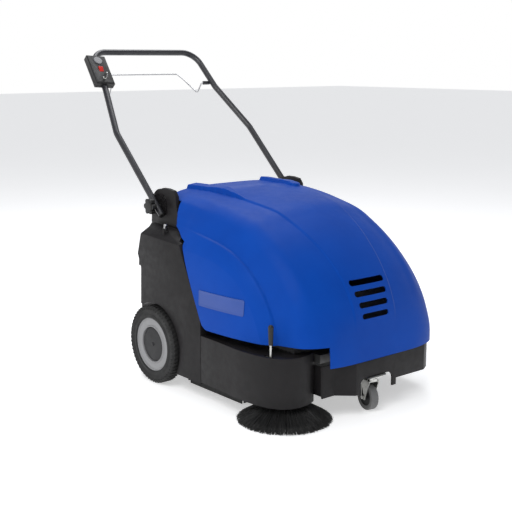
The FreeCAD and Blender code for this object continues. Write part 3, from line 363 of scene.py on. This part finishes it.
def hood_relief(p):
    """Height of the moulded features above the plain dome, in mm along its normal."""
    side_sign, x, y, z = np.sign(p[..., 0]), np.abs(p[..., 0]), p[..., 1], p[..., 2]
    crease = np.interp(y, CREASE[:, 0], CREASE[:, 1])
    high_up = smooth_step(300, 400, z)
    # crowned middle, and the panel between the creases a step proud of the bands outside it
    height = 7.0 * smooth_step(-200, -420, y) * np.cos(np.clip(x / 260, 0, 1) * math.pi / 2) ** 2
    height *= smooth_step(230, 420, z)
    panel = 1 - smooth_step(crease - 4, crease + 4, x)
    height += panel * (6.5 - 3.5 * smooth_step(-300, -640, y)) * high_up * smooth_step(-40, -150, y)
    # rear ribs: the right one narrows into its crease, the left one ends in a round nose
    narrow = np.where(side_sign < 0, 46 - 44 * smooth_step(-90, -300, y), 46.0)
    inner_edge = crease - narrow
    nose_y = -165.0
    nose = np.hypot(np.minimum(y - nose_y, 0), x - (crease - 23)) - 23
    rib_right = smooth_step(inner_edge - 4, inner_edge + 4, x) * panel * (1 - smooth_step(-140, -300, y))
    rib_left = (1 - smooth_step(-3, 3, nose)) * smooth_step(inner_edge - 3, inner_edge + 3, x) * panel
    rib_left *= 1 - 0.55 * smooth_step(-90, -280, y)
    height += np.where(side_sign < 0, rib_right, rib_left) * 15.0 * smooth_step(66, 40, y)
    # soft shoulder line
    height += 4.0 * np.exp(-((x - 254) / 24.0) ** 2) * smooth_step(0, -160, y) * smooth_step(330, 480, z)
    # side: raised panel inside the inner arc, bevel out to the outer arc, hollow beyond it
    outer = below_arc(y, z, OUTER_ARC)
    inner = below_arc(y, z, INNER_ARC)
    band = np.clip(outer / np.maximum(outer - inner, 1.0), 0, 1)
    hollow = -19.0 + 6.0 * smooth_step(-4, 2, outer) + 13.0 * band
    hollow = np.where(outer < -4, -19.0 * (1 - smooth_step(-4, -100, outer)), hollow)
    height += smooth_step(268, 318, x) * hollow * (1 - 0.75 * smooth_step(-270, -150, y))
    # the upper flank draws in towards the rear edge
    height -= 15.0 * smooth_step(-270, -130, y) * smooth_step(540, 620, z) * smooth_step(300, 350, x)
    # the front left corner flares a little towards its lower edge
    height += 5.0 * (side_sign > 0) * smooth_step(250, 330, x) * smooth_step(-420, -560,
                                                                             y) * smooth_step(330, 240, z)
    return height


def grid_faces(rows, columns):
    index = np.arange(rows * columns).reshape(rows, columns)
    quads = np.stack([index[:-1, :-1], index[1:, :-1], index[1:, 1:], index[:-1, 1:]], -1)
    return quads.reshape(-1, 4)


def slice_faces(bm, outline, axis, where):
    """Cut the faces chosen by where along every edge of an outline, drawn in the two axes other than axis."""
    u, v = [i for i in range(3) if i != axis]
    for (a0, b0), (a1, b1) in zip(outline, outline[1:] + outline[:1]):
        point, normal = Vector((0, 0, 0)), Vector((0, 0, 0))
        point[u], point[v] = a0, b0
        normal[u], normal[v] = b1 - b0, a0 - a1
        if normal.length < 1e-9:
            continue
        margin = 0.012
        near = [f for f in bm.faces if where(f.calc_center_median())
                and min(a0, a1) - margin < f.calc_center_median()[u] < max(a0, a1) + margin
                and min(b0, b1) - margin < f.calc_center_median()[v] < max(b0, b1) + margin]
        geometry = list({e for f in near for e in f.edges}) + near + list({w for f in near for w in f.verts})
        bmesh.ops.bisect_plane(bm, geom=geometry, dist=1e-6, plane_co=point, plane_no=normal.normalized())


def in_outline(outline, a, b):
    inside = False
    for (a0, b0), (a1, b1) in zip(outline, outline[1:] + outline[:1]):
        if (b0 > b) != (b1 > b) and a < (a1 - a0) * (b - b0) / (b1 - b0) + a0:
            inside = not inside
    return inside


def cut_away(bm, outline, axis, where):
    slice_faces(bm, outline, axis, where)
    u, v = [i for i in range(3) if i != axis]
    gone = []
    for face in bm.faces:
        centre = face.calc_center_median()
        if where(centre) and in_outline(outline, centre[u], centre[v]):
            gone.append(face)
    bmesh.ops.delete(bm, geom=gone, context="FACES")


def slot_outline(half, z, radius, steps=7):
    points = []
    for centre, start in ((half - radius, -90), (-half + radius, 90)):
        for i in range(steps + 1):
            angle = math.radians(start + 180 * i / steps)
            points.append((centre + radius * math.cos(angle), z + radius * math.sin(angle)))
    return [(a * MM, b * MM) for a, b in points]


LOWER_CUT = dict(side=0.6, under=0.1, step_x=-0.212, below=0.32)      # metres, clear round the hood
HOOD_SLOTS = ((464, 84), (428, 77), (391, 70), (353, 64))
HOOD_BEHIND = [(-8, 790), (-48, 700), (-62, 655), (-92, 612), (-124, 594), (-150, 578), (-174, 569),
               (-174, 554), (-246, 402), (-291, 306), (-302, 286), (-318, 275), (-336, 270), (-336, 120),
               (300, 120), (300, 790)]


def make_hood():
    """Dome with its moulded relief, cut to its outline, slotted and given a wall."""
    p = hood_surface(521, 100, 240)
    du = np.gradient(p, axis=1)
    dv = np.gradient(p, axis=0)
    normal = np.cross(du, dv)
    normal /= np.maximum(np.linalg.norm(normal, axis=-1, keepdims=True), 1e-9)
    outward = np.sign((normal * (p - np.array([0, -300, 300]))).sum(-1, keepdims=True))
    normal *= np.where(outward == 0, 1, outward)
    pole = smooth_step(0.0, 8.0, np.minimum(np.arange(p.shape[1]), np.arange(p.shape[1])[::-1]).astype(float))
    relief = hood_relief(p) * pole[None, :]
    p = p + normal * relief[..., None]
    bm = bmesh.new()
    verts = [bm.verts.new(v) for v in (p * MM).reshape(-1, 3)]
    for quad in grid_faces(p.shape[0], p.shape[1]):
        bm.faces.new([verts[i] for i in quad])
    bmesh.ops.remove_doubles(bm, verts=bm.verts, dist=2e-4)
    bmesh.ops.recalc_face_normals(bm, faces=bm.faces)
    behind = [(a * MM, b * MM) for a, b in HOOD_BEHIND]
    for side in (-1, 1):
        cut_away(bm, behind, 0, lambda c, s=side: c.x * s > 0.300)
    low, step = HOOD_MM["low"] * MM, HOOD_MM["step"] * MM
    side_x, under, step_x = LOWER_CUT["side"], LOWER_CUT["under"], LOWER_CUT["step_x"]
    for right_end, top in ((side_x, low), (step_x, step)):
        cut_away(bm, [(-side_x, under), (right_end, under), (right_end, top), (-side_x, top)], 1,
                 lambda c: c.z < LOWER_CUT["below"])
    for z, half in HOOD_SLOTS:
        cut_away(bm, slot_outline(half, z, 9.5), 1, lambda c: c.y < -0.6)
    loose = [v for v in bm.verts if not v.link_faces]
    bmesh.ops.delete(bm, geom=loose, context="VERTS")
    obj = object_from_bmesh("hood_shell", bm)
    centre = sum((f.normal.dot(f.center - Vector((0, -0.3, 0.3))) for f in obj.data.polygons))
    if centre < 0:
        obj.data.flip_normals()
    shell = obj.modifiers.new("wall", "SOLIDIFY")
    shell.thickness = HOOD_MM["thick"] * MM
    shell.offset = -1.0
    shell.use_even_offset = False
    apply_modifiers(obj)
    shade_by_angle(obj, 40.0)
    return finish_piece(obj, "hood", "blue_plastic", MATERIALS["blue_plastic"], "hood")


def hood_side_x(y, z):
    """Outer face of the right-hand side panel at y, z (mm)."""
    low, high = 0.0, 420.0
    for _ in range(30):
        mid = (low + high) / 2
        if hood_inside(np.array(-mid), np.array(float(y)), np.array(float(z))):
            low = mid
        else:
            high = mid
    return -low


def make_badge():
    """Blank name plate laid on the hood's right side."""
    y0, y1, z0, z1, corner = -515.0, -288.0, 356.0, 412.0, 5.0
    columns, rows = 60, 18
    verts, faces = [], []
    for j in range(rows + 1):
        for i in range(columns + 1):
            u, v = i / columns, j / rows
            y, z = y0 + (y1 - y0) * u, z0 + (z1 - z0) * v
            inset = corner - math.sqrt(max(0.0, corner ** 2 - max(0.0, corner - min(y - y0, y1 - y)) ** 2))
            z = min(max(z, z0 + inset), z1 - inset)
            rim = min(u * (y1 - y0), (1 - u) * (y1 - y0), v * (z1 - z0), (1 - v) * (z1 - z0)) < 3.2
            verts.append(((hood_side_x(y, z) - (2.0 if rim else 1.2)) * MM, y * MM, z * MM))
    for j in range(rows):
        for i in range(columns):
            k = j * (columns + 1) + i
            faces.append((k, k + columns + 1, k + columns + 2, k + 1))
    obj = mesh_object("badge_blank", verts, faces)
    shell = obj.modifiers.new("wall", "SOLIDIFY")
    shell.thickness = 0.0012
    shell.offset = -1.0
    apply_modifiers(obj)
    shade_by_angle(obj, 30.0)
    return finish_piece(obj, "hood", "blue_plastic", BADGE)


# ---------------------------------------------------------------- turned and repeated parts
def turned_x(name, profile, y, z, side, steps=128):
    """Closed profile of (radius, x) pairs revolved about the X axis through y, z; side -1 mirrors it."""
    verts, faces = [], []
    n = len(profile)
    for i in range(steps):
        a = 2 * math.pi * i / steps
        for r, x in profile:
            verts.append((side * x * MM, (y + r * math.cos(a)) * MM, (z + r * math.sin(a)) * MM))
    for i in range(steps):
        for j in range(n):
            k, m = (j + 1) % n, (i + 1) % steps
            quad = (i * n + j, i * n + k, m * n + k, m * n + j)
            faces.append(quad)
    obj = mesh_object(name, verts, faces)
    bm = bmesh.new()
    bm.from_mesh(obj.data)
    bmesh.ops.recalc_face_normals(bm, faces=bm.faces)
    bm.to_mesh(obj.data)
    bm.free()
    shade_by_angle(obj, 35.0)
    return obj


def joined(name, objects):
    """One object from several."""
    bm = bmesh.new()
    for obj in objects:
        bm.from_mesh(obj.data)
        bpy.data.objects.remove(obj)
    return object_from_bmesh(name, bm)


def rounded_block(bm, size, matrix, bevel):
    made = bmesh.ops.create_cube(bm, size=1.0, matrix=matrix @ Matrix.Diagonal((*size, 1.0)))
    edges = list({e for v in made["verts"] for e in v.link_edges})
    bmesh.ops.bevel(bm, geom=edges, offset=bevel, segments=2, profile=0.5, affect="EDGES")


def tread_blocks(name, side, count=56):
    """Cross bars round the tread and short ribs on the outer shoulder."""
    bm = bmesh.new()
    for i in range(count):
        turn = Matrix.Rotation(2 * math.pi * i / count, 4, "X")
        lift = Matrix.Translation((side * 0.391, 0, 0.150)) @ turn
        for x, skew in ((-0.0105, 16), (0.0105, -16)):
            lean = Matrix.Translation((side * x, 0, 0.1462)) @ Matrix.Rotation(math.radians(skew * side),
                                                                               4, "Z")
            rounded_block(bm, (0.019, 0.0075, 0.0070), lift @ lean, 0.0009)
        shoulder = Matrix.Translation((side * 0.0225, 0,
                                       0.1405)) @ Matrix.Rotation(math.radians(-42 * side), 4, "Y")
        rounded_block(bm, (0.004, 0.0070, 0.012), lift @ shoulder, 0.0008)
    obj = object_from_bmesh(name, bm)
    shade_by_angle(obj, 35.0)
    return obj


def arc(cx, cy, r, start, end, steps=6):
    return [(cx + r * math.cos(math.radians(start + (end - start) * i / steps)),
             cy + r * math.sin(math.radians(start + (end - start) * i / steps))) for i in range(steps + 1)]


def make_wheel(side):
    """Tyre with its tread blocks, rim and hub cap of one rear wheel."""
    word = "left" if side > 0 else "right"
    tyre = [(103.2, 368), (103.2, 414)] + arc(108, 411.5, 4, 140, 60, 4) + [(116, 414.2), (117, 413.2)]
    tyre += [(124, 413.4), (125, 414.6), (133, 415)] + arc(137.5, 406.5, 9, 75, 0, 6)
    tyre += arc(137.5, 375.5, 9, 0, -75, 6) + [(120, 367), (108, 366.5)]
    body = turned_x("tyre_body", tyre, 0, 150, side)
    finish_piece(joined("tyre_finished_" + word, [body, tread_blocks("blocks", side)]), "wheel_" + word,
                 "tyre_rubber", MATERIALS["tyre_rubber"], "tyre_" + word)
    rim = [(102.9, 372)] + arc(99.5, 409.5, 3.2, 0, 100, 5) + [(96, 409.5), (95, 408.6), (74, 407.4)]
    rim += [(72.5, 409)] + arc(69.5, 409.4, 2.4, 60, 180, 5) + [(66.7, 400), (14, 400), (14, 392), (84, 392)]
    rim += [(84, 372)]
    finish_piece(turned_x("rim_finished_" + word, rim, 0, 150, side), "wheel_" + word, "rim_grey",
                 MATERIALS["rim_grey"], "rim_" + word)
    cap = [(0.01, 411.2)] + arc(4.4, 408.8, 2.4, 90, 10, 3) + [(7.2, 408.2), (30, 408), (52, 407.4)]
    cap += arc(62, 404.6, 2.6, 80, 0, 5) + [(65.6, 404.4), (65.6, 402.5), (0.01, 402.5)]
    finish_piece(turned_x("hub_cap_finished_" + word, cap[::-1], 0, 150, side), "wheel_" + word,
                 "cap_plastic",
                 MATERIALS["cap_plastic"], "hub_cap_" + word)


def strands(name, paths, radius, sides=4):
    """Tapering filaments, each following its list of points."""
    verts, faces = [], []
    for path in paths:
        start = len(verts)
        points = [Vector(p) for p in path]
        for i, p in enumerate(points):
            along = (points[min(i + 1, len(points) - 1)] - points[max(i - 1, 0)]).normalized()
            across = along.orthogonal().normalized()
            other = along.cross(across)
            r = radius * (1.0 - 0.35 * i / (len(points) - 1))
            for k in range(sides):
                a = 2 * math.pi * k / sides
                verts.append(p + across * (r * math.cos(a)) + other * (r * math.sin(a)))
        for i in range(len(points) - 1):
            for k in range(sides):
                m = (k + 1) % sides
                row, up = start + i * sides, start + (i + 1) * sides
                faces.append((row + k, row + m, up + m, up + k))
        end = start + (len(points) - 1) * sides
        faces.append(tuple(start + k for k in range(sides))[::-1])
        faces.append(tuple(end + k for k in range(sides)))
    return mesh_object(name, verts, faces)


def make_side_brush():
    """Tufts set round the disc, splayed out to the floor by their own length."""
    rng = random.Random(7)
    centre = Vector((-0.284, -0.618, 0))
    outer = [(52, 74), (72, 60), (104, 40), (138, 20), (169.5, 2)]
    inner = [(32, 70), (52, 50), (80, 32), (108, 16), (142, 2)]
    paths = []
    tufts = 46
    for i in range(tufts):
        for _ in range(58):
            spread = rng.gauss(0, 0.5)
            lean = rng.gauss(0, 0.025)
            depth = rng.random() ** 0.7
            length = 1.0 - abs(rng.gauss(0, 0.03))
            path = []
            for j, ((ro, zo), (ri, zi)) in enumerate(zip(outer, inner)):
                t = j / 4
                r = (ri + (ro - ri) * depth) * (1 + (length - 1) * t)
                z = zi + (zo - zi) * depth + (1 - length) * 40 * t
                a = 2 * math.pi * (i + spread * (0.55 + 0.30 * t)) / tufts + lean * t
                path.append(centre + Vector((r * math.cos(a), r * math.sin(a), max(z, 1.2))) * MM)
            paths.append(path)
    return finish_piece(strands("side_brush_tufts", paths, 0.0013), "side_brush", "bristle",
                        MATERIALS["bristle"], "side_brush_bristles")


def make_main_broom():
    """Ten rows of tufts on the core, swept to a shallow V."""
    rng = random.Random(11)
    paths = []
    for row in range(10):
        for tuft in range(34):
            x = -0.249 + 0.498 * tuft / 33
            sweep = math.radians(18 + row * 36) + 0.45 * (abs(x) / 0.254 - 0.5)
            for _ in range(9):
                a = sweep + rng.gauss(0, 0.030)
                across = x + rng.gauss(0, 0.0028)
                across = max(-0.2530, min(0.2530, across))
                bend = rng.gauss(0, 0.02)
                tip = 0.1345 - abs(rng.gauss(0, 0.0022))
                path = []
                for t in (0.0, 0.5, 1.0):
                    r = 0.043 + (tip - 0.043) * t
                    w = a + bend * t * t
                    path.append((across, -0.250 - r * math.sin(w), 0.136 + r * math.cos(w)))
                paths.append(path)
    return finish_piece(strands("main_broom_tufts", paths, 0.0012, 3), "main_broom", "bristle",
                        MATERIALS["bristle"], "broom_bristles")


def make_pivot_disc(side):
    """Ribbed clamp face beside the handle arm."""
    bm = bmesh.new()
    base = Matrix.Translation((side * 0.3231, 0.062, 0.668))
    for i in range(26):
        turn = Matrix.Rotation(2 * math.pi * i / 26, 4, "X")
        rounded_block(bm, (0.0042, 0.0028, 0.0220), base @ turn @ Matrix.Translation((0, 0, 0.0320)), 0.0006)
    blocks = object_from_bmesh("ribs", bm)
    ring = turned_x("ring", [(43.0, 321), (43.0, 325.2), (46.0, 325.2), (46.0, 321)], 62, 668, side, 72)
    boss = turned_x("boss", [(12.6, 321), (12.6, 325.2), (16.4, 325.2), (16.4, 321)], 62, 668, side, 48)
    obj = joined("pivot_disc_" + ("left" if side > 0 else "right"), [blocks, ring, boss])
    shade_by_angle(obj, 35.0)
    return finish_piece(obj, "chassis", "black_plastic", MATERIALS["black_plastic"])


def make_tube_plug(side):
    """Plastic plug in the open lower end of the handle tube."""
    obj = turned_x("tube_plug_" + ("left" if side > 0 else "right"),
                   [(0.01, 0), (12.0, 0), (12.4, -0.8), (12.4, -2.6), (11.0, -4.2), (7.0, -5.2),
                    (0.01, -5.4)],
                   0, 0, 1, 40)
    along = Vector((0, 303, 289)).normalized()
    place = Vector((side * 338, 28, 636)) * MM - along * 0.0002
    obj.data.transform(Matrix.Translation(place) @ along.to_track_quat("X", "Z").to_matrix().to_4x4())
    return finish_piece(obj, "handle", "knob_plastic", MATERIALS["knob_plastic"])


def make_caster():
    """Rubber tread on a moulded centre, turned with the fork's heading."""
    low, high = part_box("caster_wheel")
    heading = Matrix.Rotation(math.radians(-12), 4, "Z")
    centre = (low + high) / 2
    tread = [(32, -13)] + arc(43, -10, 4.9, 250, 330, 4) + arc(43, -10, 4.9, 330, 360, 2)
    tread += arc(43, 10, 4.9, 0, 110, 6) + [(32, 13)]
    hub = [(5, -15.5), (11, -15.5), (12, -12), (28, -10.5), (31.8, -12.6), (31.8, 12.6), (28, 10.5), (12, 12)]
    hub += [(11, 15.5), (5, 15.5)]
    made = []
    for name, profile, slot in (("caster_tread", tread, "caster_rubber"), ("caster_hub", hub, "cap_plastic")):
        obj = turned_x(name, profile, 0, 0, 1, 96)
        obj.data.transform(Matrix.Translation(centre) @ heading)
        made.append(finish_piece(obj, "caster_wheel", slot, MATERIALS[slot], "caster_wheel"))
    return made


BADGE = plastic("badge_plate", (0.022, 0.062, 0.27), (0.028, 0.070, 0.30), (0.28, 0.36), 900.0, 0.00005)


# ---------------------------------------------------------------- stage
CAMERA = dict(place=(-2.4395, -3.0606, 1.2149), yaw=39.7, pitch=11.2, lens=70.05)


def make_camera():
    """Camera at three quarter view from the machine's front right."""
    data = bpy.data.cameras.new("camera")
    data.lens = CAMERA["lens"]
    data.sensor_width = 36.0
    obj = bpy.data.objects.new("camera", data)
    obj.location = CAMERA["place"]
    obj.rotation_euler = (math.radians(90 - CAMERA["pitch"]), 0.0, -math.radians(CAMERA["yaw"]))
    bpy.context.scene.collection.objects.link(obj)
    bpy.context.scene.camera = obj


def area_light(name, place, target, size, power, colour=(1, 1, 1)):
    data = bpy.data.lights.new(name, "AREA")
    data.shape = "RECTANGLE"
    data.size, data.size_y = size
    data.energy = power
    data.color = colour
    obj = bpy.data.objects.new(name, data)
    obj.location = place
    obj.rotation_euler = (Vector(target) - Vector(place)).to_track_quat("-Z", "Y").to_euler()
    bpy.context.scene.collection.objects.link(obj)


def make_stage():
    """Pale floor, soft sky and three large lights."""
    floor = mesh_object("floor", [(-30, -30, 0), (30, -30, 0), (30, 30, 0), (-30, 30, 0)], [(0, 1, 2, 3)],
                        False)
    s = Surface("floor_pale", roughness=0.9, Emission_Color=(1, 1, 1, 1), Emission_Strength=0.46)
    s.colours(s.noise(2.0), [(0.3, (0.86, 0.86, 0.86)), (0.7, (0.88, 0.88, 0.88))])
    floor.data.materials.append(s.material)
    world = bpy.data.worlds.new("studio")
    world.use_nodes = True
    tree = world.node_tree
    split = tree.nodes.new("ShaderNodeSeparateXYZ")
    ramp = tree.nodes.new("ShaderNodeValToRGB")
    ramp.color_ramp.elements[0].position = 0.12
    ramp.color_ramp.elements[0].color = (1, 1, 1, 1)
    ramp.color_ramp.elements[1].position = 0.4
    ramp.color_ramp.elements[1].color = (0.30, 0.31, 0.33, 1)
    tree.links.new(tree.nodes.new("ShaderNodeTexCoord").outputs["Generated"], split.inputs["Vector"])
    tree.links.new(split.outputs["Z"], ramp.inputs["Fac"])
    tree.links.new(ramp.outputs["Color"], tree.nodes["Background"].inputs["Color"])
    tree.nodes["Background"].inputs["Strength"].default_value = 1.0
    bpy.context.scene.world = world
    area_light("key", (-2.9, -1.9, 3.8), (0, -0.2, 0.4), (2.4, 2.4), 105)
    area_light("top", (0.9, 1.4, 4.2), (0, -0.1, 0.5), (3.0, 3.0), 110, (0.97, 0.98, 1.0))
    area_light("side", (-4.5, 0.6, 1.8), (0, -0.1, 0.4), (2.0, 2.0), 22)


# bevel width of each carried-over node, in metres
SOFT_EDGES = {
    "side_panel_right": 0.004, "side_panel_left": 0.004, "front_body": 0.003, "brush_housing": 0.003,
    "rear_cover": 0.002, "handle_bracket_right": 0.0025, "handle_bracket_left": 0.0025,
    "hopper_bin": 0.0012, "hopper_handle": 0.002, "control_box": 0.003, "control_cover": 0.0015,
    "clamp_knob_right": 0.002, "clamp_knob_left": 0.002, "caster_fork": 0.0006, "latch_hook": 0.0006,
    "lever_grip": 0.001, "drive_rocker": 0.0008,
}


def main():
    make_camera()
    make_stage()
    dress_cad_nodes()
    make_hood()
    make_badge()
    for side in (-1, 1):
        make_wheel(side)
        make_pivot_disc(side)
        make_tube_plug(side)
    make_side_brush()
    make_main_broom()
    make_caster()
    for node, width in SOFT_EDGES.items():
        softened(node, width)


main()
view = bpy.context.scene.view_settings
view.view_transform = "Standard"
bpy.context.view_layer.update()
